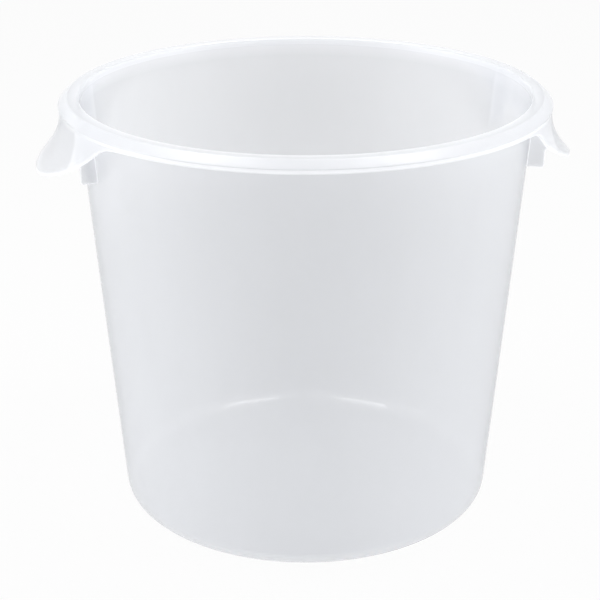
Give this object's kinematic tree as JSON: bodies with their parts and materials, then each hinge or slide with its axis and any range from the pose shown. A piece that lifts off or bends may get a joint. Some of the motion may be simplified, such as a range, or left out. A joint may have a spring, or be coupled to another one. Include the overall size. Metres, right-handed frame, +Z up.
{
  "type": "dough proofing container",
  "caption": "Round, tapering food tub in translucent plastic, open at the top, with a rolled rim and ribbed grip ears on opposite sides.",
  "frame": {"origin": "The middle of the base on the surface that the tub stands on, which is the bottom centre of the bounding box.", "axes": "+Z is up along the tub's axis, the grip ears lie on -X and +X, and +Y points away from the front."},
  "size_m": [0.3676, 0.3344, 0.297],
  "materials": {
    "clear_plastic": "translucent, softly glossy"
  },
  "bodies": {
    "root": {"floor": "clear_plastic", "gate_mark": "clear_plastic", "foot_ring": "clear_plastic", "base_corner": "clear_plastic", "side_wall": "clear_plastic", "rim_flange": "clear_plastic", "rim_skirt": "clear_plastic", "left_ear": "clear_plastic", "right_ear": "clear_plastic", "left_front_rib": "clear_plastic", "left_back_rib": "clear_plastic", "right_front_rib": "clear_plastic", "right_back_rib": "clear_plastic"}
  },
  "joints": []
}
